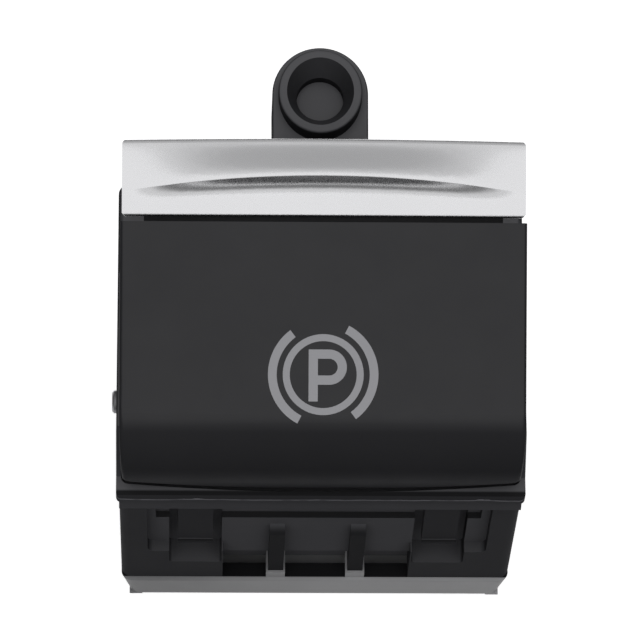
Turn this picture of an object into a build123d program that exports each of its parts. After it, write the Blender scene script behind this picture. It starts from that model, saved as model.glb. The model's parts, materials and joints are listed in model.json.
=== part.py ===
"""Parking brake switch: a sprung rocker with a finger lip, in a snap-together casing.

Millimetres, +Z up. The origin is on the underside, straight below the rocker's pivot axis.
+Y points to the rear, where the mounting ear is. The rocker's face slopes up towards the rear.
"""

import os
from math import asin, cos, degrees, radians, sin, sqrt, tan

from build123d import *

os.makedirs("parts", exist_ok=True)

# Driving sizes: overall
PIVOT_Z = 31.8
FACE_TILT = 22.0
CASE_W = 42.0
CASE_FRONT = -9.8
CASE_REAR = 24.0
COVER_TOP = 4.6
HOUSING_TOP = 26.4
WALL = 1.6
CASE_CORNER_R = 1.0

# Driving sizes: rocker cap and lip, in the rocker's own tilted directions
FACE_H = 8.05
CAP_FRONT = 9.3
CAP_BOW = 0.9
CAP_REAR = 18.7
CAP_DRAFT = 4.0
CAP_ROLL_R = 8.0
CAP_ROOF = 1.65
CAP_EDGE_R = 0.4
CAP_CORNER_R = 0.8
CAP_WALL = 1.5
ROLL_BACK = 1.0
SKIRT_BACK = -6.2
PIVOT_NOTCH_R = 2.9
SKIRT_FRONT_DROP = 3.3
SKIRT_SIDE_DROP = 1.0
LIP_GAP = 0.55
LIP_INSET = 0.2
LIP_DEPTH = 7.8
LIP_UNDER_H = 4.3
LIP_UNDER_SLOPE = 1.4
LIP_BACK_H = 5.6
LIP_BACK_DROP = 0.3
LIP_BACK_DIP = 0.7
LIP_BACK_BOW = 0.25
LIP_NOSE = 0.4
LIP_SCOOP = 0.7
LIP_BROW_Y = 4.2
LIP_BROW_SAG = 1.7
LIP_BROW_H = 1.1
LIP_BROW_FOOT = 1.4
LIP_BROW_KNEE = 1.0
LIP_END_SHARE = 0.03
LIP_RIDGE_R = 0.1
LIP_CORNER_R = 0.5
LIP_NOTCH = 0.3
LIP_CREST_RUN = 1.2
LIP_HEEL_RUN = 1.6
LIP_HEEL_RISE = 0.35
LIP_HEEL_H = 0.56
LIP_HEEL_DIP = 0.12
LIP_HEEL_LEAN = 0.1
LIP_STATIONS = (-1, -0.9, -0.65, -0.33, 0, 0.33, 0.65, 0.9, 1)
TONGUE_FIT = 0.05

# Driving sizes: parking brake sign
SIGN_Y = 3.04
SIGN_DEPTH = 0.8
SIGN_RING_R = 4.16
SIGN_STROKE = 0.72
SIGN_ARC_R = 5.68
SIGN_ARC_STROKE = 0.9
SIGN_ARC_SPAN = 115.7
SIGN_ARC_TURN = 4.5
LETTER_LEFT = -1.5
LETTER_TOP = 2.58
LETTER_BOTTOM = -2.76
LETTER_STROKE = 0.95
LETTER_BOWL_X = 0.62
LETTER_BOWL_R = 1.81

# Driving sizes: rocker carrier
PLATE_T = 1.5
PLATE_REAR_FOOT = 12.5
REAR_LOW = 14.0
REAR_R = 15.0
REAR_WALL = 1.4
ARM_T = 2.0
ARM_GAP = 0.5
BOSS_R = 3.0
DRIVE_X = 9.75
DRIVE_T = 1.6
DRIVE_Y = 4.0
DRIVE_DROP = 16.2
DRIVE_TIP_R = 1.2
DRIVE_TIP_W = 2.4
DRIVE_NECK_W = 2.2
DRIVE_ROOT_W = 4.8
TONGUE_INSET = 0.95
TONGUE_REACH = 6.0

# Driving sizes: frame
RIM_OVERHANG = 0.3
BAND_TOP = 28.5
BAND_GROOVE = 0.2
FRAME_FLOOR_TOP = 27.1
FRAME_FLOOR_D = 3.2
RIM_PROUD = 0.15
CAP_SIDE_REVEAL = 0.35
RIM_DEPTH = 2.2
CHEEK_FRONT = -3.5
SHOULDER_FRONT = 13.6
RIM_TOP = 30.0
RIM_CORNER_R = 0.6
WELL_FRONT = -8.85
CHEEK_TOP = 34.0
CHEEK_T = 0.5
LEDGE_TOP = 29.2
LEDGE_T = 1.6
SHOULDER_TOP = 34.5
SHOULDER_T = 1.5
SHOULDER_RISE = 0.8
SHOULDER_R = 1.5
ROCKER_GAP = 0.4
SNAP_INSET = 5.1
SNAP_W = 3.7
SNAP_END = 13.7
SNAP_T = 1.2
SNAP_HOOK = 0.3
SNAP_HOOK_H = 1.2
SNAP_ROOT = 1.0
SNAP_ROOM = 1.0
SNAP_SLOT_W = 1.5
SNAP_SLOT_H = 2.0
TONGUE_SINK = 0.4

# Driving sizes: mounting ear
EAR_Y = 33.6
EAR_END_Y = 33.8
EAR_R = 5.1
EAR_TOP = 36.5
EAR_NECK_TOP = 33.6
EAR_REAR_TOP = 36.2
EAR_UNDER = 29.2
EAR_RING_X = 4.45
EAR_RING_Y = 4.85
EAR_MOUTH_X = 3.56
EAR_MOUTH_Y = 3.93
EAR_SOCKET_R = 2.5
EAR_LEAD = 2.1
EAR_SOCKET_DEPTH = 3.2
EAR_SCREW_R = 1.4
EAR_SCREW_DEPTH = 3.0
EAR_KEY_SHRINK = 0.6
EAR_LOCK_W = 13.0
EAR_LOCK_T = 1.2
EAR_EDGE_R = 0.3
EAR_GUSSET_T = 1.2

# Driving sizes: housing front wall
RECESS_SIDE = 2.9
RECESS_FLOOR = 12.9
RECESS_DEPTH = 1.2
RECESS_R = 0.9
SHADOW_BAND = 6.1
SHADOW_DEPTH = 0.7
CENTRE_W = 20.1
CENTRE_TOP = 9.8
CENTRE_DEPTH = 2.5
CENTRE_BACKING = 1.3
RIB_X = 4.3
RIB_W = 1.65
RIB_TOP = 18.6
RIB_SET_BACK = 0.25
RIB_FOOT_W = 2.05
RIB_FOOT_TOP = 6.0
POCKET_W = 5.6
POCKET_FLOOR = 9.5
POCKET_DEPTH = 2.6
POCKET_R = 0.5

# Driving sizes: base cover and connector
COVER_FLOOR = 1.6
COVER_DRAFT = 11.0
COVER_PROUD = 0.4
COVER_EDGE_R = 0.35
FOOT_W = 1.4
FOOT_H = 0.3
SOCKET_W = 18.0
SOCKET_D = 8.0
SOCKET_Y = 10.0
SOCKET_WALL = 1.2
SOCKET_PLINTH_FRONT = -4.0
COVER_RIM = 1.6
KEY_W = 3.0
KEY_D = 0.7
POST_R = 1.5

# Driving sizes: circuit board and what stands on it
BOARD_Z = 9.0
BOARD_T = 1.6
BOARD_SIDE_GAP = 0.6
BOARD_END_GAP = 0.4
PIN_PITCH = 2.54
PIN_W = 0.64
PIN_TIP_Z = 5.1
HEADER_H = 1.6
PIN_COLUMNS = 6
PIN_ROWS = 2
PIN_SOLDER = 0.7
PIN_TIP_EDGE = 0.15
HEADER_EDGE = 0.5
TRACK_T = 0.15
TRACK_W = 1.0
TRACK_L = 9.0
TRACK_PITCH = 2.0
LAMP_W = 3.0
LAMP_H = 1.4
LAMP_LENS_R = 1.1
LAMP_LENS_H = 0.3
LAMP_LENS_TAPER = 30.0
CHIP_W = 6.0
CHIP_D = 4.6
CHIP_H = 1.5
CAPACITOR_R = 2.0
CAPACITOR_H = 4.0
RESISTOR_W = 1.1
RESISTOR_L = 1.9
RESISTOR_H = 0.5
RESISTOR_ROWS = 2
RESISTOR_COLUMNS = 3

# Driving sizes: contact works
ROD_R = 0.7
ROD_Z = 12.35
ROD_EDGE = 0.15
SLIDER_W = 4.0
SLIDER_L = 5.2
SLIDER_TOP = 16.6
SLIDER_FLOAT = 0.7
SLIDER_EDGE_R = 0.4
SLOT_FLOOR = 13.9
ROD_SUPPORT_GAP = 4.9
ROD_SUPPORT_T = 1.8
CHASSIS_TOP = 19.0
CHASSIS_T = 1.4
CHASSIS_SIDE_GAP = 0.4
CHASSIS_REAR = 14.6
DRIVE_SLOT_L = 8.4
DRIVE_SLOT_W = 4.0
WIPER_W = 0.8
WIPER_L = 4.6
WIPER_T = 0.15
WIPER_BEND = 1.2
WIPER_TOE = 0.4
WIPER_CURL = 0.2
PIPE_Y = 1.0
PIPE_NECK_Z = 26.0
SPRING_WIRE_R = 0.17
SPRING_R = 1.15
SPRING_PITCH = 1.15
PIPE_R = 3.4
PIPE_HEAD_R = 5.0
PIPE_TOP = 33.4
PIPE_LIFT = 0.6
PIPE_COLLAR_R = 4.4
PIPE_COLLAR_T = 0.8
PIPE_EDGE_R = 0.5
GUIDE_W = 12.6
GUIDE_REAR = 9.3
GUIDE_MARGIN = 1.2
GUIDE_CORNER_R = 2.5
GUIDE_BULGE = 0.8
GUIDE_TAPER = 20.0

# Driving sizes: pivot pins
PIN_R = 1.2
PIN_PROUD_LEFT = 0.45
PIN_PROUD_RIGHT = 0.0
PIN_EDGE = 0.2

# Named clearances
RUN_FIT = 0.05
SLIDE_FIT = 0.1
CLIP_FIT = 0.1
BODY_GAP = 0.3
SINK = 0.2
SLIVER = 0.02

# Derived widths
FRAME_W = CASE_W + 2 * RIM_OVERHANG
CAP_W = FRAME_W - 2 * CAP_SIDE_REVEAL
CAP_IN_W = CAP_W - 2 * CAP_WALL
LIP_W = CAP_W - 2 * LIP_INSET
TONGUE_W = CAP_IN_W - 2 * TONGUE_INSET
RECESS_W = CASE_W - 2 * RECESS_SIDE
SNAP_X = RECESS_W / 2 - SNAP_INSET
BOARD_W = CASE_W - 2 * WALL - 2 * BOARD_SIDE_GAP
CHASSIS_W = CASE_W - 2 * WALL - 2 * CHASSIS_SIDE_GAP

# Derived places
INNER_FRONT = CASE_FRONT + RECESS_DEPTH + WALL
INNER_REAR = CASE_REAR - WALL
BOARD_FRONT = INNER_FRONT + CENTRE_BACKING + BODY_GAP
BOARD_REAR = INNER_REAR - BOARD_END_GAP
CASE_MID = (CASE_FRONT + CASE_REAR) / 2
CASE_D = CASE_REAR - CASE_FRONT
PLATE_TOP = FACE_H - CAP_ROOF
PLATE_UNDER = PLATE_TOP - PLATE_T
PLATE_MIDDLE = PLATE_TOP - PLATE_T / 2
PLATE_FRONT = -ROLL_BACK
REAR_HIGH = FACE_TILT + degrees(asin(PLATE_MIDDLE / REAR_R))
GUIDE_FRONT = PLATE_FRONT + GUIDE_MARGIN
GUIDE_MID = (GUIDE_FRONT + GUIDE_REAR) / 2
GUIDE_D = GUIDE_REAR - GUIDE_FRONT
LIP_FRONT = CAP_REAR + LIP_GAP
BOARD_TOP = BOARD_Z + BOARD_T
LEDGE_X = FRAME_W / 2 - LEDGE_T
CHEEK_X = FRAME_W / 2 - CHEEK_T
ARM_OUT_X = LEDGE_X - ARM_GAP
ARM_IN_X = ARM_OUT_X - ARM_T
SLIDER_BOTTOM = BOARD_TOP + SLIDER_FLOAT
CHASSIS_UNDER = CHASSIS_TOP - CHASSIS_T
WIPER_FOOT_Z = BOARD_TOP + TRACK_T + RUN_FIT

# Planes: world side view, side view about the pivot, the same turned with the face, and the face
side_view = Plane.YZ
pivot_side = Plane(origin=(0, 0, PIVOT_Z), x_dir=(0, 1, 0), z_dir=(1, 0, 0))
tilt_y = cos(radians(FACE_TILT))
tilt_z = sin(radians(FACE_TILT))
rocker_side = Plane(origin=(0, 0, PIVOT_Z), x_dir=(0, tilt_y, tilt_z), z_dir=(1, 0, 0))
rocker_top = Plane(origin=(0, 0, PIVOT_Z), x_dir=(1, 0, 0), z_dir=(0, -tilt_z, tilt_y))


def to_rocker(y, z):
    """A point of the upright side view about the pivot, in the rocker's tilted directions."""
    return (y * tilt_y + z * tilt_z, z * tilt_y - y * tilt_z)


def plate_height(y):
    """Height of the carrier plate's middle above the pivot, at y in the upright side view."""
    return (PLATE_MIDDLE + y * tilt_z) / tilt_y


face_axis = Axis(rocker_top.origin, rocker_top.z_dir)


def finish(builder, name):
    builder.part.label = name
    export_step(builder.part, f"parts/{name}.step")


def cap_side():
    """Side profile of the cap: flat face, front roll, and the skirt's lower edge."""
    centre = (-ROLL_BACK, FACE_H - CAP_ROLL_R)
    centre_y = centre[0] * tilt_y - centre[1] * tilt_z
    centre_z = centre[0] * tilt_z + centre[1] * tilt_y
    low_y = centre_y - sqrt(CAP_ROLL_R**2 - (SKIRT_FRONT_DROP + centre_z) ** 2)
    diagonal = CAP_ROLL_R * sin(radians(45))
    low_front = to_rocker(low_y, -SKIRT_FRONT_DROP)
    low_rear = to_rocker(sqrt(REAR_R**2 - SKIRT_SIDE_DROP**2), -SKIRT_SIDE_DROP)
    mid_rear = to_rocker(REAR_R * cos(radians(18)), REAR_R * sin(radians(18)))
    high_rear = (sqrt(REAR_R**2 - PLATE_TOP**2), PLATE_TOP)
    with BuildSketch(rocker_side, mode=Mode.PRIVATE) as profile:
        with BuildLine():
            Polyline(high_rear, (CAP_REAR, PLATE_TOP), (CAP_REAR, FACE_H), (centre[0], FACE_H))
            ThreePointArc(
                (centre[0], FACE_H), (centre[0] - diagonal, centre[1] + diagonal), low_front
            )
            Polyline(
                low_front,
                to_rocker(SKIRT_BACK, -SKIRT_FRONT_DROP),
                to_rocker(SKIRT_BACK, -SKIRT_SIDE_DROP),
                low_rear,
            )
            ThreePointArc(low_rear, mid_rear, high_rear)
        make_face()
    return profile.sketch


def cap_hollow():
    """Side profile of the room below the cap's roof, rounded at the front like the cap itself."""
    centre_z = FACE_H - CAP_ROLL_R
    radius = PLATE_TOP - centre_z
    with BuildSketch(rocker_side, mode=Mode.PRIVATE) as profile:
        with BuildLine():
            Line((2 * CAP_REAR, PLATE_TOP), (-ROLL_BACK, PLATE_TOP))
            arc = CenterArc((-ROLL_BACK, centre_z), radius, 90, 90)
            Polyline(
                arc @ 1,
                (-ROLL_BACK - radius, -CAP_REAR),
                (2 * CAP_REAR, -CAP_REAR),
                (2 * CAP_REAR, PLATE_TOP),
            )
        make_face()
    return profile.sketch


def sign_sketch():
    """The parking brake sign: ring, two outer arcs and the letter, on the face."""
    with BuildSketch(rocker_top.offset(FACE_H)) as sign:
        with Locations((0, SIGN_Y)):
            Circle(SIGN_RING_R)
            Circle(SIGN_RING_R - SIGN_STROKE, mode=Mode.SUBTRACT)
        for middle in (SIGN_ARC_TURN, 180 + SIGN_ARC_TURN):
            start = middle - SIGN_ARC_SPAN / 2
            with BuildLine():
                out = CenterArc((0, SIGN_Y), SIGN_ARC_R, start, SIGN_ARC_SPAN)
                inner = CenterArc((0, SIGN_Y), SIGN_ARC_R - SIGN_ARC_STROKE, start, SIGN_ARC_SPAN)
                Line(out @ 0, inner @ 0)
                Line(out @ 1, inner @ 1)
            make_face()
        with BuildLine():
            letter = Polyline(
                (LETTER_LEFT + LETTER_STROKE, SIGN_Y + LETTER_TOP - 2 * LETTER_BOWL_R),
                (LETTER_LEFT + LETTER_STROKE, SIGN_Y + LETTER_BOTTOM),
                (LETTER_LEFT, SIGN_Y + LETTER_BOTTOM),
                (LETTER_LEFT, SIGN_Y + LETTER_TOP),
                (LETTER_BOWL_X, SIGN_Y + LETTER_TOP),
            )
            ThreePointArc(
                letter @ 1,
                (LETTER_BOWL_X + LETTER_BOWL_R, SIGN_Y + LETTER_TOP - LETTER_BOWL_R),
                (LETTER_BOWL_X, SIGN_Y + LETTER_TOP - 2 * LETTER_BOWL_R),
            )
            Line((LETTER_BOWL_X, SIGN_Y + LETTER_TOP - 2 * LETTER_BOWL_R), letter @ 0)
        make_face()
        counter_r = LETTER_BOWL_R - LETTER_STROKE
        with Locations((LETTER_BOWL_X, SIGN_Y + LETTER_TOP - LETTER_BOWL_R)):
            Circle(counter_r, mode=Mode.SUBTRACT)
        counter_w = LETTER_BOWL_X - LETTER_LEFT - LETTER_STROKE
        with Locations((LETTER_BOWL_X - counter_w / 2, SIGN_Y + LETTER_TOP - LETTER_BOWL_R)):
            Rectangle(counter_w, 2 * counter_r, mode=Mode.SUBTRACT)
    return sign.sketch


sign = sign_sketch()

# Rocker cap: drafted block with a bowed front, cut to the side profile, hollow below
with BuildPart() as rocker_cap:
    with BuildSketch(rocker_top.offset(FACE_H)) as outline:
        half = CAP_W / 2
        with BuildLine():
            bow = ThreePointArc(
                (-half, CAP_BOW - CAP_FRONT), (0, -CAP_FRONT), (half, CAP_BOW - CAP_FRONT)
            )
            Polyline(bow @ 1, (half, CAP_REAR), (-half, CAP_REAR), bow @ 0)
        make_face()
        fillet(outline.vertices().group_by(Axis.Y)[0], CAP_CORNER_R)
    extrude(amount=-2 * FACE_H, taper=CAP_DRAFT)
    extrude(cap_side(), amount=CAP_W, both=True, mode=Mode.INTERSECT)
    top_edges = rocker_cap.faces().sort_by(face_axis)[-1].edges()
    fillet(top_edges.filter_by(GeomType.LINE).filter_by(Axis.X, reverse=True), CAP_EDGE_R)
    extrude(cap_hollow(), amount=CAP_IN_W / 2, both=True, mode=Mode.SUBTRACT)
    with BuildSketch(pivot_side):
        Circle(PIVOT_NOTCH_R)
        with Locations((0, -PIVOT_NOTCH_R)):
            Rectangle(2 * PIVOT_NOTCH_R, 2 * PIVOT_NOTCH_R)
    extrude(amount=CAP_W, both=True, mode=Mode.SUBTRACT)
    extrude(sign, amount=-SIGN_DEPTH, mode=Mode.SUBTRACT)
finish(rocker_cap, "rocker_cap")

# Sign inlay: the light strokes, set flush in the cap
with BuildPart() as sign_inlay:
    extrude(sign, amount=-SIGN_DEPTH)
finish(sign_inlay, "sign_inlay")

# Light guide: a clear plate in the carrier's window, right under the cap's roof
with BuildPart() as light_guide:
    with BuildSketch(rocker_top.offset(PLATE_UNDER)):
        with Locations((0, GUIDE_MID)):
            RectangleRounded(GUIDE_W, GUIDE_D, GUIDE_CORNER_R)
    extrude(amount=PLATE_T)
    with BuildSketch(rocker_top.offset(PLATE_UNDER)):
        with Locations((0, GUIDE_MID)):
            Circle(GUIDE_D / 2 - GUIDE_MARGIN)
    extrude(amount=-GUIDE_BULGE, taper=GUIDE_TAPER)
    fillet(light_guide.faces().sort_by(face_axis)[0].edges(), GUIDE_BULGE / 2)
finish(light_guide, "light_guide")

# Rocker carrier: top plate with window, rear wall about the pivot, bearing arms and drive arms
with BuildPart() as rocker_carrier:
    with BuildSketch(rocker_top.offset(PLATE_UNDER)):
        with Locations((0, (CAP_REAR - PLATE_FRONT) / 2 + PLATE_FRONT)):
            Rectangle(CAP_IN_W - 2 * CLIP_FIT, CAP_REAR - PLATE_FRONT)
        with Locations((0, LIP_FRONT + TONGUE_REACH / 2 - LIP_GAP)):
            Rectangle(TONGUE_W, TONGUE_REACH + LIP_GAP)
        with Locations((0, GUIDE_MID)):
            window = (GUIDE_W + 2 * RUN_FIT, GUIDE_D + 2 * RUN_FIT, GUIDE_CORNER_R + RUN_FIT)
            RectangleRounded(*window, mode=Mode.SUBTRACT)
    extrude(amount=PLATE_T)
    with BuildSketch(pivot_side):
        with BuildLine():
            outer = CenterArc((0, 0), REAR_R, -REAR_LOW, REAR_LOW + REAR_HIGH)
            inner = CenterArc((0, 0), REAR_R - REAR_WALL, -REAR_LOW, REAR_LOW + REAR_HIGH)
            Line(outer @ 0, inner @ 0)
            Line(outer @ 1, inner @ 1)
        make_face()
    extrude(amount=CAP_IN_W / 2 - CLIP_FIT, both=True)
    for side_x in (-1, 1):
        with BuildSketch(rocker_side.offset(side_x * ARM_IN_X)):
            Circle(BOSS_R)
            Polygon(
                (-BOSS_R, 0),
                (BOSS_R, 0),
                (PLATE_REAR_FOOT, PLATE_UNDER),
                (PLATE_FRONT, PLATE_UNDER),
                align=None,
            )
        extrude(amount=side_x * ARM_T)
        with BuildSketch(pivot_side.offset(side_x * (DRIVE_X - DRIVE_T / 2))):
            Polygon(
                (DRIVE_Y - DRIVE_NECK_W / 2, -DRIVE_DROP),
                (DRIVE_Y + DRIVE_NECK_W / 2, -DRIVE_DROP),
                (DRIVE_Y + DRIVE_ROOT_W / 2, plate_height(DRIVE_Y + DRIVE_ROOT_W / 2)),
                (DRIVE_Y - DRIVE_ROOT_W / 2, plate_height(DRIVE_Y - DRIVE_ROOT_W / 2)),
                align=None,
            )
        extrude(amount=side_x * DRIVE_T)
        with BuildSketch(pivot_side.offset(side_x * (DRIVE_X - DRIVE_TIP_W / 2))):
            with Locations((DRIVE_Y, -DRIVE_DROP)):
                Circle(DRIVE_TIP_R)
        extrude(amount=side_x * DRIVE_TIP_W)
    with BuildSketch(pivot_side):
        Circle(PIN_R + RUN_FIT)
    extrude(amount=CASE_W, both=True, mode=Mode.SUBTRACT)
finish(rocker_carrier, "rocker_carrier")

# Finger lip: lofted through cross sections, with an arched ridge over a scooped finger rest
def lip_section(x):
    """One cross section of the lip at x: nose, scoop, steep brow, ridge, sloping back, underside."""
    share = max(1 - (2 * x / LIP_W) ** 2, LIP_END_SHARE)
    ridge_y = LIP_FRONT + LIP_BROW_Y - LIP_BROW_SAG * (2 * x / LIP_W) ** 2
    ridge = FACE_H + LIP_BROW_H * share
    scoop = FACE_H - LIP_SCOOP * share
    back = FACE_H - LIP_BACK_DROP - LIP_BACK_DIP * share
    rear = LIP_FRONT + LIP_DEPTH + LIP_BACK_BOW * (1 - (2 * x / LIP_W) ** 2)
    with BuildSketch(rocker_side.offset(x), mode=Mode.PRIVATE) as section:
        with BuildLine():
            nose = Bezier(
                (LIP_FRONT, scoop - LIP_NOSE),
                (LIP_FRONT, scoop),
                (LIP_FRONT + LIP_NOSE, scoop),
            )
            Bezier(
                nose @ 1,
                (ridge_y - LIP_BROW_FOOT, scoop),
                (ridge_y - LIP_BROW_KNEE, scoop),
                (ridge_y, ridge),
            )
            Bezier(
                (ridge_y, ridge),
                (ridge_y + LIP_CREST_RUN, ridge),
                (rear - LIP_HEEL_RUN, back + LIP_HEEL_RISE),
                (rear - LIP_NOSE, back),
            )
            heel = Bezier(
                (rear - LIP_NOSE, back), (rear, back - LIP_HEEL_DIP), (rear, back - LIP_HEEL_H)
            )
            Polyline(
                heel @ 1,
                (rear - LIP_HEEL_LEAN, LIP_BACK_H),
                (rear - LIP_UNDER_SLOPE, LIP_UNDER_H),
                (LIP_FRONT, LIP_UNDER_H),
                nose @ 0,
            )
        make_face()
    return section.sketch


with BuildPart() as finger_lip:
    for station in LIP_STATIONS:
        add(lip_section(station * LIP_W / 2))
    loft()
    ridge_edge = finger_lip.edges().filter_by(lambda edge: edge.length > LIP_W).sort_by(face_axis)[-1]
    fillet(ridge_edge, LIP_RIDGE_R)
    with BuildSketch(rocker_top) as lip_plan:
        half = LIP_W / 2
        rear = LIP_FRONT + LIP_DEPTH + SLIVER
        with BuildLine():
            bow = ThreePointArc((half, rear), (0, rear + LIP_BACK_BOW), (-half, rear))
            Polyline(bow @ 1, (-half, LIP_FRONT), (half, LIP_FRONT), bow @ 0)
        make_face()
        fillet(lip_plan.vertices().group_by(Axis.Y)[-1], LIP_CORNER_R)
        chamfer(lip_plan.vertices().group_by(Axis.Y)[0], LIP_NOTCH)
    extrude(amount=2 * FACE_H, mode=Mode.INTERSECT)
    with BuildSketch(rocker_top.offset(PLATE_UNDER - TONGUE_FIT)):
        with Locations((0, LIP_FRONT + TONGUE_REACH / 2 - LIP_GAP)):
            Rectangle(TONGUE_W + 2 * TONGUE_FIT, TONGUE_REACH + LIP_GAP + 2 * TONGUE_FIT)
    extrude(amount=PLATE_T + 2 * TONGUE_FIT, mode=Mode.SUBTRACT)
finish(finger_lip, "finger_lip")

# Bezel frame: rim and cheeks round the rocker, finger shoulder and snap tongues
with BuildPart() as bezel_frame:
    with BuildSketch(side_view) as frame_side:
        with BuildLine():
            Polyline(
                (CASE_FRONT, BAND_TOP),
                (CASE_FRONT - RIM_PROUD, BAND_TOP + RIM_PROUD),
                (CASE_FRONT - RIM_PROUD, RIM_TOP - RIM_OVERHANG),
                (CASE_FRONT + RIM_OVERHANG - RIM_PROUD, RIM_TOP),
                (CASE_FRONT + RIM_DEPTH, RIM_TOP),
                (CHEEK_FRONT, CHEEK_TOP),
                (SHOULDER_FRONT, CHEEK_TOP),
                (SHOULDER_FRONT + SHOULDER_RISE, SHOULDER_TOP),
                (CASE_REAR, SHOULDER_TOP),
                (CASE_REAR, BAND_TOP),
                close=True,
            )
        make_face()
        fillet(frame_side.vertices().group_by(Axis.Y)[-1].sort_by(Axis.X)[-1], SHOULDER_R)
    extrude(amount=FRAME_W / 2, both=True)
    fillet(bezel_frame.edges().filter_by(Axis.Z).group_by(Axis.Y)[-1], CASE_CORNER_R)
    fillet(bezel_frame.edges().filter_by(Axis.Z).group_by(Axis.Y)[0], RIM_CORNER_R)

    # Lower band, as wide as the case, sloping out below the rim
    with BuildSketch(side_view):
        Polygon(
            (CASE_FRONT, HOUSING_TOP),
            (CASE_FRONT - RIM_PROUD, HOUSING_TOP + RIM_OVERHANG),
            (CASE_FRONT + BAND_GROOVE, BAND_TOP),
            (CASE_REAR, BAND_TOP),
            (CASE_REAR, HOUSING_TOP),
            align=None,
        )
    extrude(amount=CASE_W / 2, both=True)

    # Well for the rocker: straight sides, bowed front over a narrow floor, round rear
    with BuildSketch(Plane.XY.offset(HOUSING_TOP), mode=Mode.PRIVATE) as well:
        with BuildLine():
            front = WELL_FRONT - ROCKER_GAP
            bow = ThreePointArc(
                (-CHEEK_X, front + CAP_BOW), (0, front), (CHEEK_X, front + CAP_BOW)
            )
            Polyline(bow @ 1, (CHEEK_X, CASE_REAR), (-CHEEK_X, CASE_REAR), bow @ 0)
        make_face()
        fillet(well.vertices().group_by(Axis.Y)[0], CAP_CORNER_R)
    well_block = extrude(well.sketch, amount=HOUSING_TOP, mode=Mode.PRIVATE)
    with BuildSketch(pivot_side, mode=Mode.PRIVATE) as well_side:
        Circle(REAR_R + ROCKER_GAP)
        with Locations((-REAR_R, 0)):
            Rectangle(2 * REAR_R, 4 * REAR_R)
        with Locations((CASE_FRONT, FRAME_FLOOR_TOP - PIVOT_Z)):
            floor_align = (Align.CENTER, Align.MAX)
            Rectangle(2 * FRAME_FLOOR_D, 4 * REAR_R, align=floor_align, mode=Mode.SUBTRACT)
    well_cut = extrude(well_side.sketch, amount=CHEEK_X, both=True, mode=Mode.PRIVATE)
    add(well_block & well_cut, mode=Mode.SUBTRACT)

    # Ledges that carry the pivot bosses inside the cheeks
    for side_x in (-1, 1):
        with BuildSketch(side_view.offset(side_x * LEDGE_X)):
            with Locations(((CHEEK_FRONT + SHOULDER_FRONT) / 2, (HOUSING_TOP + LEDGE_TOP) / 2)):
                Rectangle(SHOULDER_FRONT - CHEEK_FRONT, LEDGE_TOP - HOUSING_TOP)
            with Locations((0, PIVOT_Z)):
                Circle(PIVOT_NOTCH_R - ROCKER_GAP)
            with Locations((0, (PIVOT_Z + LEDGE_TOP) / 2)):
                Rectangle(2 * (PIVOT_NOTCH_R - ROCKER_GAP), PIVOT_Z - LEDGE_TOP)
        extrude(amount=side_x * (CASE_W / 2 - LEDGE_X))
    with BuildSketch(pivot_side):
        Circle(PIN_R)
    extrude(amount=FRAME_W, both=True, mode=Mode.SUBTRACT)

    # Room under the shoulder, behind the well
    with BuildSketch(Plane.XY.offset(HOUSING_TOP)):
        hollow_front = REAR_R + ROCKER_GAP + SHOULDER_T
        hollow_rear = CASE_REAR - SHOULDER_T
        with Locations((0, (hollow_front + hollow_rear) / 2)):
            Rectangle(2 * LEDGE_X, hollow_rear - hollow_front)
    extrude(amount=SHOULDER_TOP - SHOULDER_T - HOUSING_TOP, mode=Mode.SUBTRACT)

    # Snap tongues, two in front and two behind, with a hooked foot and a slot at the root
    front_outer = CASE_FRONT + RECESS_DEPTH - TONGUE_SINK
    rear_outer = CASE_REAR - TONGUE_SINK
    for tongue_x in (-SNAP_X, SNAP_X):
        for outer_y, inward in ((front_outer, 1), (rear_outer, -1)):
            with BuildSketch(side_view.offset(tongue_x - SNAP_W / 2)):
                Polygon(
                    (outer_y, HOUSING_TOP + SNAP_ROOT),
                    (outer_y, SNAP_END + SNAP_HOOK_H),
                    (outer_y - inward * SNAP_HOOK, SNAP_END + SNAP_HOOK_H),
                    (outer_y - inward * SNAP_HOOK, SNAP_END + SNAP_HOOK_H / 2),
                    (outer_y + inward * SNAP_HOOK, SNAP_END),
                    (outer_y + inward * SNAP_T, SNAP_END),
                    (outer_y + inward * SNAP_T, HOUSING_TOP + SNAP_ROOT),
                    align=None,
                )
            extrude(amount=SNAP_W)
            with BuildSketch(Plane.XZ.offset(-outer_y)):
                with Locations((tongue_x, HOUSING_TOP - SNAP_SLOT_H / 2)):
                    Rectangle(SNAP_SLOT_W, SNAP_SLOT_H)
            extrude(amount=SNAP_T, both=True, mode=Mode.SUBTRACT)

    # Slot in the rear wall for the ear's key, open below
    key_x = EAR_R - EAR_KEY_SHRINK
    key_top = EAR_NECK_TOP - EAR_KEY_SHRINK
    key_mid = (HOUSING_TOP + key_top) / 2
    with BuildSketch(Plane.XZ.offset(-CASE_REAR)):
        with Locations((0, key_mid)):
            Rectangle(2 * key_x, key_top - HOUSING_TOP)
    extrude(amount=SHOULDER_T, mode=Mode.SUBTRACT)
finish(bezel_frame, "bezel_frame")

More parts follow.
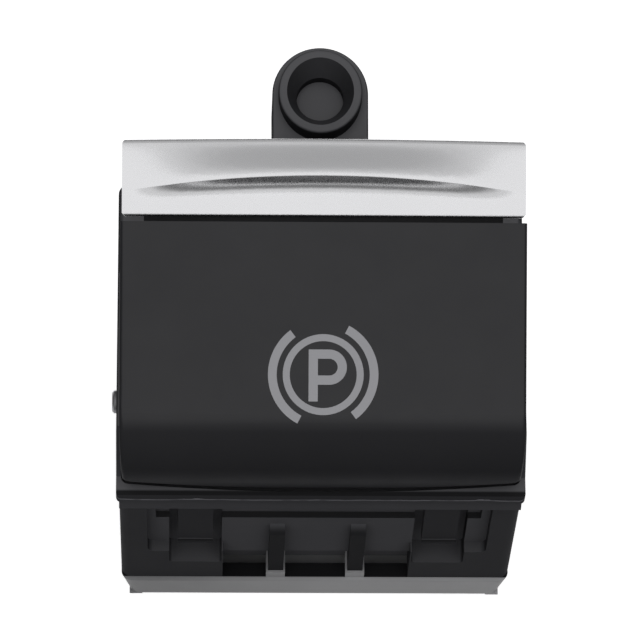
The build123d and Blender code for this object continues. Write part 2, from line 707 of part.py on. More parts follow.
# Mounting ear: neck keyed into the frame's rear wall, raised ring, dished socket, screw hole
with BuildPart() as mounting_ear:
    with BuildSketch(Plane.XY.offset(EAR_UNDER)):
        with Locations((0, EAR_END_Y)):
            Circle(EAR_R)
        with Locations((0, (CASE_REAR + EAR_END_Y) / 2)):
            Rectangle(2 * EAR_R, EAR_END_Y - CASE_REAR)
    extrude(amount=EAR_TOP - EAR_UNDER)
    with BuildSketch(side_view):
        Polygon(
            (CASE_REAR, EAR_NECK_TOP),
            (EAR_END_Y + EAR_R, EAR_REAR_TOP),
            (EAR_END_Y + EAR_R, 2 * EAR_TOP),
            (CASE_REAR, 2 * EAR_TOP),
            align=None,
        )
    extrude(amount=EAR_R, both=True, mode=Mode.SUBTRACT)
    fillet(mounting_ear.faces().filter_by(Axis.X).edges().group_by(Axis.Z)[-1], EAR_EDGE_R)
    with BuildSketch(Plane.XY.offset(EAR_UNDER)):
        with Locations((0, EAR_Y)):
            Ellipse(EAR_RING_X, EAR_RING_Y)
    extrude(amount=EAR_TOP - EAR_UNDER)
    fillet(mounting_ear.faces().sort_by(Axis.Z)[-1].edges(), EAR_EDGE_R)
    with BuildSketch(Plane.XY.offset(EAR_TOP - EAR_SOCKET_DEPTH)):
        with Locations((0, EAR_Y)):
            Circle(EAR_SOCKET_R)
    extrude(amount=EAR_SOCKET_DEPTH, mode=Mode.SUBTRACT)
    with BuildSketch(Plane.XY.offset(EAR_TOP - EAR_LEAD)):
        with Locations((0, EAR_Y)):
            Circle(EAR_SOCKET_R)
    with BuildSketch(Plane.XY.offset(EAR_TOP)):
        with Locations((0, EAR_Y)):
            Ellipse(EAR_MOUTH_X, EAR_MOUTH_Y)
    loft(mode=Mode.SUBTRACT)
    with BuildSketch(Plane.XY.offset(EAR_UNDER)):
        with Locations((0, EAR_Y)):
            Circle(EAR_SCREW_R)
    extrude(amount=EAR_SCREW_DEPTH, mode=Mode.SUBTRACT)
    with BuildSketch(Plane.XZ.offset(-CASE_REAR)):
        with Locations((0, key_mid)):
            Rectangle(2 * key_x, key_top - HOUSING_TOP)
    extrude(amount=SHOULDER_T)
    lock_h = SHOULDER_TOP - SHOULDER_T - CLIP_FIT - HOUSING_TOP
    with BuildSketch(Plane.XZ.offset(-(CASE_REAR - SHOULDER_T))):
        with Locations((0, HOUSING_TOP + lock_h / 2)):
            Rectangle(EAR_LOCK_W, lock_h)
    extrude(amount=EAR_LOCK_T)
    for side_x in (-1, 1):
        with BuildSketch(side_view.offset(side_x * key_x - EAR_GUSSET_T / 2)):
            Polygon(
                (CASE_REAR, EAR_UNDER),
                (CASE_REAR + EAR_R, EAR_UNDER),
                (CASE_REAR, HOUSING_TOP + RIM_OVERHANG),
                align=None,
            )
        extrude(amount=EAR_GUSSET_T)
finish(mounting_ear, "mounting_ear")

# Pivot pins: pressed in the frame's bosses, turning in the carrier's arms
for side_name, side_x, proud in (("left", -1, PIN_PROUD_LEFT), ("right", 1, PIN_PROUD_RIGHT)):
    with BuildPart() as pivot_pin:
        with BuildSketch(Plane.YZ.offset(side_x * ARM_IN_X)):
            with Locations((0, PIVOT_Z)):
                Circle(PIN_R)
        extrude(amount=side_x * (FRAME_W / 2 + proud - ARM_IN_X))
        chamfer(pivot_pin.edges().filter_by(GeomType.CIRCLE), PIN_EDGE)
    finish(pivot_pin, f"pivot_pin_{side_name}")

# Housing: open tube of the lower casing with the recessed and ribbed front wall
with BuildPart() as housing:
    with BuildSketch(Plane.XY.offset(COVER_TOP)) as footprint:
        with Locations((0, CASE_MID)):
            Rectangle(CASE_W, CASE_D)
        fillet(footprint.vertices(), CASE_CORNER_R)
    extrude(amount=HOUSING_TOP - COVER_TOP)
    with BuildSketch(Plane.XY.offset(COVER_TOP)):
        with Locations((0, (INNER_FRONT + INNER_REAR) / 2)):
            Rectangle(CASE_W - 2 * WALL, INNER_REAR - INNER_FRONT)
    extrude(amount=HOUSING_TOP - COVER_TOP, mode=Mode.SUBTRACT)

    # Thickened patches behind the deeper recess and the clip pockets
    with BuildSketch(Plane.XY.offset(COVER_TOP)):
        with Locations((0, INNER_FRONT + CENTRE_BACKING / 2)):
            Rectangle(CENTRE_W + 2 * WALL, CENTRE_BACKING)
    extrude(amount=CENTRE_TOP + WALL - COVER_TOP)
    for pocket_x in (-SNAP_X, SNAP_X):
        with BuildSketch(Plane.XY.offset(POCKET_FLOOR - WALL)):
            with Locations((pocket_x, INNER_FRONT + CENTRE_BACKING / 2)):
                Rectangle(POCKET_W + 2 * WALL, CENTRE_BACKING)
        extrude(amount=HOUSING_TOP - POCKET_FLOOR + WALL)

    # Wide recess with rounded lower corners, open at the top, and its deeper upper band
    with BuildSketch(Plane.XZ.offset(-CASE_FRONT)) as recess:
        with Locations((0, (RECESS_FLOOR + HOUSING_TOP) / 2)):
            Rectangle(RECESS_W, HOUSING_TOP - RECESS_FLOOR)
        fillet(recess.vertices().group_by(Axis.Y)[0], RECESS_R)
    extrude(amount=-RECESS_DEPTH, mode=Mode.SUBTRACT)
    with BuildSketch(Plane.XZ.offset(-CASE_FRONT)):
        with Locations((0, HOUSING_TOP - SHADOW_BAND / 2)):
            Rectangle(RECESS_W - 2 * RECESS_R, SHADOW_BAND)
    extrude(amount=-(RECESS_DEPTH + SHADOW_DEPTH), mode=Mode.SUBTRACT)

    # Deeper centre recess, down to the cover
    with BuildSketch(Plane.XZ.offset(-CASE_FRONT)):
        with Locations((0, (COVER_TOP + RECESS_FLOOR) / 2)):
            Rectangle(CENTRE_W, RECESS_FLOOR - COVER_TOP)
    extrude(amount=-RECESS_DEPTH, mode=Mode.SUBTRACT)
    with BuildSketch(Plane.XZ.offset(-CASE_FRONT)):
        with Locations((0, (COVER_TOP + CENTRE_TOP) / 2)):
            Rectangle(CENTRE_W, CENTRE_TOP - COVER_TOP)
    extrude(amount=-CENTRE_DEPTH, mode=Mode.SUBTRACT)

    # Clip pockets, in the front wall and the rear wall
    for pocket_x in (-SNAP_X, SNAP_X):
        with BuildSketch(Plane.XZ.offset(-CASE_FRONT)) as pocket:
            with Locations((pocket_x, (POCKET_FLOOR + HOUSING_TOP) / 2)):
                Rectangle(POCKET_W, HOUSING_TOP - POCKET_FLOOR)
            fillet(pocket.vertices().group_by(Axis.Y)[0], POCKET_R)
        extrude(amount=-POCKET_DEPTH, mode=Mode.SUBTRACT)
        with BuildSketch(Plane.XZ.offset(-CASE_REAR)):
            with Locations((pocket_x, (SNAP_END - SNAP_ROOM + HOUSING_TOP) / 2)):
                Rectangle(SNAP_W + 2 * BODY_GAP, HOUSING_TOP - SNAP_END + SNAP_ROOM)
        extrude(amount=WALL, both=True, mode=Mode.SUBTRACT)

    # Ribs over both recesses, standing on the cover's tabs
    rib_front = CASE_FRONT + RIB_SET_BACK
    rib_back = CASE_FRONT + RECESS_DEPTH + SINK
    for rib_x in (-RIB_X, RIB_X):
        with BuildSketch(side_view.offset(rib_x - RIB_W / 2)):
            Polygon(
                (rib_front, RIB_FOOT_TOP),
                (rib_front, RIB_TOP - RECESS_DEPTH),
                (rib_back, RIB_TOP),
                (rib_back, CENTRE_TOP),
                (CASE_FRONT + CENTRE_DEPTH + SINK, CENTRE_TOP),
                (CASE_FRONT + CENTRE_DEPTH + SINK, RIB_FOOT_TOP),
                align=None,
            )
        extrude(amount=RIB_W)
finish(housing, "housing")

# Base cover: shallow tray with sloping ends, corner feet, rib tabs, posts and connector socket
with BuildPart() as base_cover:
    low_w = CASE_W - 2 * (COVER_TOP - FOOT_H) * tan(radians(COVER_DRAFT))
    cover_d = CASE_D + COVER_PROUD
    cover_mid = CASE_REAR - cover_d / 2
    for cover_z, cover_w in ((FOOT_H, low_w), (COVER_TOP, CASE_W)):
        with BuildSketch(Plane.XY.offset(cover_z)):
            with Locations((0, cover_mid)):
                RectangleRounded(cover_w, cover_d, CASE_CORNER_R)
    loft()
    with BuildSketch(side_view) as cover_side:
        with Locations((cover_mid, COVER_TOP / 2)):
            Rectangle(cover_d, COVER_TOP)
        fillet(cover_side.vertices().group_by(Axis.Y)[-1].sort_by(Axis.X)[0], COVER_EDGE_R)
    extrude(amount=CASE_W, both=True, mode=Mode.INTERSECT)
    with BuildSketch(Plane.XY.offset(FOOT_H + COVER_FLOOR)):
        with Locations((0, CASE_MID)):
            Rectangle(CASE_W - 2 * COVER_RIM, CASE_D - 2 * COVER_RIM)
    extrude(amount=COVER_TOP - FOOT_H - COVER_FLOOR, mode=Mode.SUBTRACT)
    with BuildSketch(Plane.XY):
        with Locations((0, cover_mid)):
            with GridLocations(low_w - FOOT_W, cover_d - FOOT_W, 2, 2):
                Rectangle(FOOT_W, FOOT_W)
        with Locations((0, (SOCKET_PLINTH_FRONT + SOCKET_Y + SOCKET_D / 2 + SOCKET_WALL) / 2)):
            plinth_d = SOCKET_Y + SOCKET_D / 2 + SOCKET_WALL - SOCKET_PLINTH_FRONT
            Rectangle(SOCKET_W + 2 * SOCKET_WALL, plinth_d)
    extrude(amount=FOOT_H)
    with BuildSketch(Plane.XY.offset(COVER_TOP)):
        with Locations((0, CASE_FRONT + CENTRE_DEPTH / 2)):
            with GridLocations(2 * RIB_X, 0, 2, 1):
                Rectangle(RIB_FOOT_W, CENTRE_DEPTH)
    extrude(amount=RIB_FOOT_TOP - COVER_TOP)
    with BuildSketch(Plane.XY.offset(FOOT_H)):
        with Locations((0, SOCKET_Y)):
            Rectangle(SOCKET_W + 2 * SOCKET_WALL, SOCKET_D + 2 * SOCKET_WALL)
    extrude(amount=BOARD_Z - FOOT_H)
    with BuildSketch(Plane.XY):
        with Locations((0, SOCKET_Y)):
            Rectangle(SOCKET_W, SOCKET_D)
            with Locations((0, SOCKET_D / 2)):
                Rectangle(KEY_W, 2 * KEY_D)
    extrude(amount=BOARD_Z, mode=Mode.SUBTRACT)
    post_inset = POST_R + BODY_GAP
    with BuildSketch(Plane.XY.offset(FOOT_H + COVER_FLOOR)):
        with Locations((0, (BOARD_FRONT + BOARD_REAR) / 2)):
            board_d = BOARD_REAR - BOARD_FRONT
            with GridLocations(BOARD_W - 2 * post_inset, board_d - 2 * post_inset, 2, 2):
                Circle(POST_R)
    extrude(amount=BOARD_Z - FOOT_H - COVER_FLOOR)
finish(base_cover, "base_cover")

# Circuit board with the header's pin holes
with BuildPart() as circuit_board:
    with BuildSketch(Plane.XY.offset(BOARD_Z)):
        with Locations((0, (BOARD_FRONT + BOARD_REAR) / 2)):
            Rectangle(BOARD_W, BOARD_REAR - BOARD_FRONT)
        with Locations((0, SOCKET_Y)):
            with GridLocations(PIN_PITCH, PIN_PITCH, PIN_COLUMNS, PIN_ROWS):
                Rectangle(PIN_W, PIN_W, mode=Mode.SUBTRACT)
    extrude(amount=BOARD_T)
finish(circuit_board, "circuit_board")

# Header that holds the connector pins under the board
with BuildPart() as pin_header:
    with BuildSketch(Plane.XY.offset(BOARD_Z - HEADER_H)):
        with Locations((0, SOCKET_Y)):
            header_w = PIN_COLUMNS * PIN_PITCH + 2 * HEADER_EDGE
            header_d = PIN_ROWS * PIN_PITCH + 2 * HEADER_EDGE
            Rectangle(header_w, header_d)
            with GridLocations(PIN_PITCH, PIN_PITCH, PIN_COLUMNS, PIN_ROWS):
                Rectangle(PIN_W, PIN_W, mode=Mode.SUBTRACT)
    extrude(amount=HEADER_H)
finish(pin_header, "pin_header")

with BuildPart() as connector_pins:
    with BuildSketch(Plane.XY.offset(PIN_TIP_Z)):
        with Locations((0, SOCKET_Y)):
            with GridLocations(PIN_PITCH, PIN_PITCH, PIN_COLUMNS, PIN_ROWS):
                Rectangle(PIN_W, PIN_W)
    extrude(amount=BOARD_TOP + PIN_SOLDER - PIN_TIP_Z)
    chamfer(connector_pins.faces().group_by(Axis.Z)[0].edges(), PIN_TIP_EDGE)
finish(connector_pins, "connector_pins")

# Contact tracks under the wipers, two to each side
with BuildPart() as contact_tracks:
    with BuildSketch(Plane.XY.offset(BOARD_TOP)):
        for drive_x in (-DRIVE_X, DRIVE_X):
            with Locations((drive_x, DRIVE_Y)):
                with GridLocations(TRACK_PITCH, 0, 2, 1):
                    SlotOverall(TRACK_L, TRACK_W, rotation=90)
    extrude(amount=TRACK_T)
finish(contact_tracks, "contact_tracks")

# Lamp under the light pipe
with BuildPart() as backlight_lamp:
    with BuildSketch(Plane.XY.offset(BOARD_TOP)):
        with Locations((0, PIPE_Y)):
            Rectangle(LAMP_W, LAMP_W)
    extrude(amount=LAMP_H)
    with BuildSketch(Plane.XY.offset(BOARD_TOP + LAMP_H)):
        with Locations((0, PIPE_Y)):
            Circle(LAMP_LENS_R)
    extrude(amount=LAMP_LENS_H, taper=LAMP_LENS_TAPER)
finish(backlight_lamp, "backlight_lamp")

# Chip, capacitor and resistors on the board's rear strip
with BuildPart() as board_parts:
    strip_y = (CHASSIS_REAR + BOARD_REAR) / 2
    side_place = BOARD_W / 4
    with BuildSketch(Plane.XY.offset(BOARD_TOP)):
        with Locations((-side_place, strip_y)):
            Rectangle(CHIP_W, CHIP_D)
    extrude(amount=CHIP_H)
    with BuildSketch(Plane.XY.offset(BOARD_TOP)):
        with Locations((side_place, strip_y)):
            Circle(CAPACITOR_R)
    extrude(amount=CAPACITOR_H)
    with BuildSketch(Plane.XY.offset(BOARD_TOP)):
        with Locations((0, strip_y)):
            spacing = (2 * RESISTOR_W, 1.5 * RESISTOR_L)
            with GridLocations(*spacing, RESISTOR_COLUMNS, RESISTOR_ROWS):
                Rectangle(RESISTOR_W, RESISTOR_L)
    extrude(amount=RESISTOR_H)
finish(board_parts, "board_parts")

# Contact chassis: a table on the board that carries the guide rods and the light pipe
with BuildPart() as contact_chassis:
    chassis_mid = (BOARD_FRONT + CHASSIS_REAR) / 2
    chassis_d = CHASSIS_REAR - BOARD_FRONT
    with BuildSketch(Plane.XY.offset(CHASSIS_UNDER)):
        with Locations((0, chassis_mid)):
            Rectangle(CHASSIS_W, chassis_d)
    extrude(amount=CHASSIS_T)
    with BuildSketch(Plane.XY.offset(BOARD_TOP)):
        with Locations((0, chassis_mid)):
            with GridLocations(CHASSIS_W - CHASSIS_T, 0, 2, 1):
                Rectangle(CHASSIS_T, chassis_d)
        for drive_x in (-DRIVE_X, DRIVE_X):
            with Locations((drive_x, DRIVE_Y)):
                with GridLocations(0, SLIDER_L + 2 * ROD_SUPPORT_GAP + ROD_SUPPORT_T, 1, 2):
                    Rectangle(SLIDER_W, ROD_SUPPORT_T)
    extrude(amount=CHASSIS_UNDER - BOARD_TOP)
    with BuildSketch(Plane.XY.offset(CHASSIS_UNDER)):
        for drive_x in (-DRIVE_X, DRIVE_X):
            with Locations((drive_x, DRIVE_Y)):
                Rectangle(DRIVE_SLOT_W, DRIVE_SLOT_L)
        with Locations((0, PIPE_Y)):
            Circle(PIPE_R)
    extrude(amount=CHASSIS_T, mode=Mode.SUBTRACT)
    rod_reach = SLIDER_L / 2 + ROD_SUPPORT_GAP + ROD_SUPPORT_T
    with BuildSketch(Plane.XZ.offset(-DRIVE_Y)):
        for drive_x in (-DRIVE_X, DRIVE_X):
            with Locations((drive_x, ROD_Z)):
                Circle(ROD_R)
    extrude(amount=CASE_D, both=True, mode=Mode.SUBTRACT)
finish(contact_chassis, "contact_chassis")

# Light pipe from the lamp towards the sign, flared at the top
with BuildPart() as light_pipe:
    pipe_foot = BOARD_TOP + LAMP_H + PIPE_LIFT
    with BuildSketch(Plane.XY.offset(pipe_foot)):
        with Locations((0, PIPE_Y)):
            Circle(PIPE_R)
    extrude(amount=PIPE_NECK_Z - pipe_foot)
    with BuildSketch(Plane.XY.offset(CHASSIS_TOP)):
        with Locations((0, PIPE_Y)):
            Circle(PIPE_COLLAR_R)
    extrude(amount=PIPE_COLLAR_T)
    with BuildSketch(Plane.XY.offset(PIPE_NECK_Z)) as neck:
        with Locations((0, PIPE_Y)):
            Circle(PIPE_R)
    with BuildSketch(Plane.XY.offset(PIPE_TOP)) as head:
        with Locations((0, PIPE_Y)):
            Circle(PIPE_HEAD_R)
    loft()
    fillet(light_pipe.faces().sort_by(Axis.Z)[-1].edges(), PIPE_EDGE_R)
finish(light_pipe, "light_pipe")

# Guide rods, sliders, wipers and return springs, one set to each side
def slider_outline(x, bottom):
    """Side outline of a slider: a block with the slot for the drive arm's round tip."""
    with BuildSketch(side_view.offset(x - SLIDER_W / 2), mode=Mode.PRIVATE) as outline:
        with Locations((DRIVE_Y, (bottom + SLIDER_TOP) / 2)):
            Rectangle(SLIDER_L, SLIDER_TOP - bottom)
        fillet(outline.vertices(), SLIDER_EDGE_R)
    return outline.sketch


for side_name, side_x in (("left", -1), ("right", 1)):
    drive_x = side_x * DRIVE_X
    rod_plane = Plane(origin=(drive_x, DRIVE_Y, ROD_Z), x_dir=(1, 0, 0), z_dir=(0, 1, 0))
    with BuildPart() as guide_rod:
        with BuildSketch(rod_plane.offset(-rod_reach)):
            Circle(ROD_R)
        extrude(amount=2 * rod_reach)
        chamfer(guide_rod.edges().filter_by(GeomType.CIRCLE), ROD_EDGE)
    finish(guide_rod, f"guide_rod_{side_name}")

    with BuildPart() as slider:
        extrude(slider_outline(drive_x, SLIDER_BOTTOM), amount=SLIDER_W)
        with BuildSketch(Plane.XY.offset(SLOT_FLOOR)):
            with Locations((drive_x, DRIVE_Y)):
                Rectangle(DRIVE_TIP_W + 2 * BODY_GAP, 2 * (DRIVE_TIP_R + SLIDE_FIT))
        extrude(amount=SLIDER_TOP - SLOT_FLOOR, mode=Mode.SUBTRACT)
        with BuildSketch(rod_plane):
            Circle(ROD_R + RUN_FIT)
        extrude(amount=SLIDER_L, both=True, mode=Mode.SUBTRACT)
    finish(slider, f"slider_{side_name}")

    wiper_root = DRIVE_Y - WIPER_L / 2
    wiper_tip = DRIVE_Y + WIPER_L / 2
    with BuildPart() as wipers:
        for wiper_x in (drive_x - TRACK_PITCH / 2, drive_x + TRACK_PITCH / 2):
            with BuildSketch(side_view.offset(wiper_x - WIPER_W / 2)):
                Polygon(
                    (wiper_root, SLIDER_BOTTOM),
                    (wiper_root, SLIDER_BOTTOM - WIPER_T),
                    (wiper_tip - WIPER_BEND, WIPER_FOOT_Z),
                    (wiper_tip - WIPER_TOE, WIPER_FOOT_Z),
                    (wiper_tip, WIPER_FOOT_Z + WIPER_CURL),
                    (wiper_tip, WIPER_FOOT_Z + WIPER_CURL + WIPER_T),
                    (wiper_tip - WIPER_TOE, WIPER_FOOT_Z + WIPER_T),
                    (wiper_tip - WIPER_BEND, WIPER_FOOT_Z + WIPER_T),
                    (wiper_root + WIPER_BEND, SLIDER_BOTTOM),
                    align=None,
                )
            extrude(amount=WIPER_W)
    finish(wipers, f"wipers_{side_name}")

    with BuildPart() as return_springs:
        coil_l = ROD_SUPPORT_GAP - 2 * SPRING_WIRE_R - 2 * RUN_FIT
        starts = (
            -SLIDER_L / 2 - ROD_SUPPORT_GAP + SPRING_WIRE_R + RUN_FIT,
            SLIDER_L / 2 + SPRING_WIRE_R + RUN_FIT,
        )
        for start in starts:
            foot = (drive_x, DRIVE_Y + start, ROD_Z)
            with BuildLine() as coil:
                Helix(SPRING_PITCH, coil_l, SPRING_R, center=foot, direction=(0, 1, 0))
            with BuildSketch(Plane(coil.line @ 0, z_dir=coil.line % 0)):
                Circle(SPRING_WIRE_R)
            sweep(is_frenet=True)
    finish(return_springs, f"return_springs_{side_name}")
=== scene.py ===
"""Looks of the parking brake switch: materials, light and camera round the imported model."""

import json
import math

import bpy
from mathutils import Matrix, Vector

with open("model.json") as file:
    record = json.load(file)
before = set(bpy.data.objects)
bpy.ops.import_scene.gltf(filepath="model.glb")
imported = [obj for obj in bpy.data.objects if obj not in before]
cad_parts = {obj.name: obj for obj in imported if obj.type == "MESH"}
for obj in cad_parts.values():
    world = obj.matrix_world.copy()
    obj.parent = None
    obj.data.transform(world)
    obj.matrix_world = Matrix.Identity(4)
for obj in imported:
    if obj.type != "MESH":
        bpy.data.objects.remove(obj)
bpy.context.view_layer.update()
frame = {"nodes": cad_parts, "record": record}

MM = 0.001
MICRON = 0.001 * MM

# Camera: square to the rocker's face, which slopes up to the rear
FACE_TILT = math.radians(22.0)
CAMERA_YAW = math.radians(1.5)
CAMERA_ROLL = math.radians(0.3)
CAMERA_DISTANCE = 500 * MM
CAMERA_LENS = 274.0
CAMERA_SENSOR = 36.0
CAMERA_NEAR = 0.01
CAMERA_FAR = 20.0
FACE_POINT = Vector((-0.36, 5.0, 42.5)) * MM


def make_camera():
    """Looks down the face's normal, with a slight turn and roll as in the photograph."""
    data = bpy.data.cameras.new("camera")
    data.lens = CAMERA_LENS
    data.sensor_width = CAMERA_SENSOR
    data.clip_start = CAMERA_NEAR
    data.clip_end = CAMERA_FAR
    camera = bpy.data.objects.new("camera", data)
    bpy.context.scene.collection.objects.link(camera)
    across = Vector((1, 0, 0))
    up = Vector((0, math.cos(FACE_TILT), math.sin(FACE_TILT)))
    out = Vector((0, -math.sin(FACE_TILT), math.cos(FACE_TILT)))
    back = out * math.cos(CAMERA_YAW) - across * math.sin(CAMERA_YAW)
    right = across * math.cos(CAMERA_YAW) + out * math.sin(CAMERA_YAW)
    rolled_right = right * math.cos(CAMERA_ROLL) + up * math.sin(CAMERA_ROLL)
    rolled_up = up * math.cos(CAMERA_ROLL) - right * math.sin(CAMERA_ROLL)
    turn = Matrix((rolled_right, rolled_up, back)).transposed().to_4x4()
    camera.matrix_world = Matrix.Translation(FACE_POINT + back * CAMERA_DISTANCE) @ turn
    bpy.context.scene.camera = camera


make_camera()


# Node helpers
def feed(tree, socket, value):
    """Sets a socket to a plain value, or links another socket to it."""
    if isinstance(value, bpy.types.NodeSocket):
        tree.links.new(value, socket)
    else:
        socket.default_value = value


def fed_by(socket):
    """The socket that is linked to this one."""
    return socket.links[0].from_socket


def add_math(tree, operation, *values):
    """One step of arithmetic on numbers and sockets."""
    step = tree.nodes.new("ShaderNodeMath")
    step.operation = operation
    for socket, value in zip(step.inputs, values):
        feed(tree, socket, value)
    return step.outputs["Value"]


def add_product(tree, product, *factors):
    """All the values multiplied with one another."""
    for factor in factors:
        product = add_math(tree, "MULTIPLY", product, factor)
    return product


def add_ramp(tree, value, start, end, low=0.0, high=1.0, curve="SMOOTHSTEP"):
    """Takes a value from low to high between start and end, in a smooth step unless asked."""
    ramp = tree.nodes.new("ShaderNodeMapRange")
    ramp.interpolation_type = curve
    feed(tree, ramp.inputs["Value"], value)
    feed(tree, ramp.inputs["From Min"], start)
    feed(tree, ramp.inputs["From Max"], end)
    feed(tree, ramp.inputs["To Min"], low)
    feed(tree, ramp.inputs["To Max"], high)
    return ramp.outputs["Result"]


def add_blend(tree, share, plain, full, kind="FLOAT"):
    """Blend of two numbers, or of two colours if the kind is RGBA."""
    mix = tree.nodes.new("ShaderNodeMix")
    mix.data_type = kind
    feed(tree, mix.inputs["Factor"], share)
    feed(tree, mix.inputs["A"], plain)
    feed(tree, mix.inputs["B"], full)
    return mix.outputs["Result"]


def add_split(tree, output):
    """X, Y and Z of a texture coordinate."""
    place = tree.nodes.new("ShaderNodeTexCoord")
    split = tree.nodes.new("ShaderNodeSeparateXYZ")
    feed(tree, split.inputs["Vector"], place.outputs[output])
    return split.outputs


def add_noise(tree, scale, detail, stretch=None):
    """Noise in object coordinates, in cells per metre, drawn out along axes whose stretch is below 1."""
    spot = tree.nodes.new("ShaderNodeTexCoord").outputs["Object"]
    if stretch:
        mapping = tree.nodes.new("ShaderNodeMapping")
        feed(tree, mapping.inputs["Vector"], spot)
        feed(tree, mapping.inputs["Scale"], stretch)
        spot = mapping.outputs["Vector"]
    noise = tree.nodes.new("ShaderNodeTexNoise")
    feed(tree, noise.inputs["Vector"], spot)
    feed(tree, noise.inputs["Scale"], scale)
    feed(tree, noise.inputs["Detail"], detail)
    return noise.outputs["Fac"]


# Materials, by name
materials = {}


def opened(name):
    """Node tree and shader of a material."""
    tree = materials[name].node_tree
    return tree, tree.nodes["Principled BSDF"]


def new_material(name, color, roughness, metallic=0.0, **inputs):
    """A Principled material with its plain values set on the shader's own sockets."""
    materials[name] = bpy.data.materials.new(name)
    materials[name].use_nodes = True
    tree, shader = opened(name)
    shader.inputs["Base Color"].default_value = (*color, 1)
    shader.inputs["Roughness"].default_value = roughness
    shader.inputs["Metallic"].default_value = metallic
    for key, value in inputs.items():
        shader.inputs[key.replace("_", " ")].default_value = value
    return tree, shader


def add_bump(tree, shader, height, strength, distance):
    """Fine relief that tilts the shader's normal."""
    bump = tree.nodes.new("ShaderNodeBump")
    feed(tree, bump.inputs["Height"], height)
    feed(tree, bump.inputs["Strength"], strength)
    feed(tree, bump.inputs["Distance"], distance)
    feed(tree, shader.inputs["Normal"], bump.outputs["Normal"])


def add_two_tone(tree, shader, share, dark, light):
    """Base colour that wanders between two tones."""
    tone = add_blend(tree, share, (*dark, 1), (*light, 1), "RGBA")
    feed(tree, shader.inputs["Base Color"], tone)


def add_uneven_gloss(tree, shader, share, low, high):
    """Roughness that wanders between two values."""
    feed(tree, shader.inputs["Roughness"], add_ramp(tree, share, 0.0, 1.0, low, high, "LINEAR"))


def scale_color(tree, shader, factor):
    """Multiplies the shader's base colour by a value."""
    scaled = tree.nodes.new("ShaderNodeVectorMath")
    scaled.operation = "SCALE"
    feed(tree, scaled.inputs[0], fed_by(shader.inputs["Base Color"]))
    feed(tree, scaled.inputs["Scale"], factor)
    feed(tree, shader.inputs["Base Color"], scaled.outputs["Vector"])


# Ranges of the object's normal along one axis, over which a face turns to look that way
POLISHED_UP = (0.8, 0.93)
LOOKS_UP = (0.3, 0.9)
LOOKS_ASIDE = (0.35, 0.1)
LOOKS_AHEAD = (-0.2, -0.7)

# Specular level of a face that is neither polished nor upright
DULL = 0.004


def add_worn_gloss(tree, shader, top, wall):
    """Dull slopes, with gloss of their own on tops, which hands polish, and on upright walls."""
    up = add_split(tree, "Normal")["Z"]
    polished = add_ramp(tree, up, *POLISHED_UP, DULL, top)
    upright = add_ramp(tree, up, *LOOKS_ASIDE, DULL, wall, "LINEAR")
    level = add_math(tree, "MAXIMUM", polished, upright)
    feed(tree, shader.inputs["Specular IOR Level"], level)


TONE_DRIFT = 90.0
GLOSS_PATCHES = 400.0
PLASTIC_SPREAD = 0.06
PLASTIC_RELIEF = 0.35


def plastic(name, dark, light, roughness, grain, depth, top_gloss=None, wall_gloss=DULL):
    """Moulded plastic: fine grain, slow tone drift and uneven gloss."""
    tree, shader = new_material(name, light, roughness)
    if top_gloss:
        add_worn_gloss(tree, shader, top_gloss, wall_gloss)
    add_two_tone(tree, shader, add_noise(tree, TONE_DRIFT, detail=3.0), dark, light)
    patches = add_noise(tree, GLOSS_PATCHES, detail=5.0)
    add_uneven_gloss(tree, shader, patches, roughness - PLASTIC_SPREAD, roughness + PLASTIC_SPREAD)
    add_bump(tree, shader, add_noise(tree, grain, detail=2.0), PLASTIC_RELIEF, depth)


METAL_DRIFT = 60.0
METAL_SHADE = 0.94
METAL_SPREAD = 0.05
METAL_RELIEF = 0.2


def metal(name, color, roughness, grain, depth, stretch=None):
    """Metal with a faint brushed or satin grain."""
    tree, shader = new_material(name, color, roughness, metallic=1.0)
    streaks = add_noise(tree, grain, detail=3.0, stretch=stretch)
    add_uneven_gloss(tree, shader, streaks, roughness - METAL_SPREAD, roughness + METAL_SPREAD)
    darker = tuple(part * METAL_SHADE for part in color)
    add_two_tone(tree, shader, add_noise(tree, METAL_DRIFT, detail=2.0), darker, color)
    add_bump(tree, shader, streaks, METAL_RELIEF, depth)


GUIDE_COLOR = (0.92, 0.94, 0.95)
GUIDE_ROUGHNESS = 0.12
GUIDE_HAZE = 300.0
GUIDE_HAZE_RANGE = (0.08, 0.2)
GUIDE_GRAIN = 1500.0
GUIDE_RELIEF = 0.1


def clear_plastic(name):
    """Clear moulded plastic, slightly milky in places."""
    tree, shader = new_material(
        name, GUIDE_COLOR, GUIDE_ROUGHNESS, Transmission_Weight=0.9, IOR=1.49
    )
    add_uneven_gloss(tree, shader, add_noise(tree, GUIDE_HAZE, detail=3.0), *GUIDE_HAZE_RANGE)
    add_bump(tree, shader, add_noise(tree, GUIDE_GRAIN, detail=2.0), GUIDE_RELIEF, 10 * MICRON)


# Edges: the paler tone on them is a painted highlight
EDGE_ROUGHNESS = 0.4
EDGE_DRIFT = 500.0
EDGE_HIGHLIGHT_PALER = 1.25


def rubbed_and_highlit_edge(name, color):
    """Rubbed edge of a moulding: a little glossier than its faces, and painted paler as a highlight
    caught on the edge.
    """
    tree, shader = new_material(name, color, EDGE_ROUGHNESS)
    paler = tuple(part * EDGE_HIGHLIGHT_PALER for part in color)
    add_two_tone(tree, shader, add_noise(tree, EDGE_DRIFT, detail=3.0), color, paler)


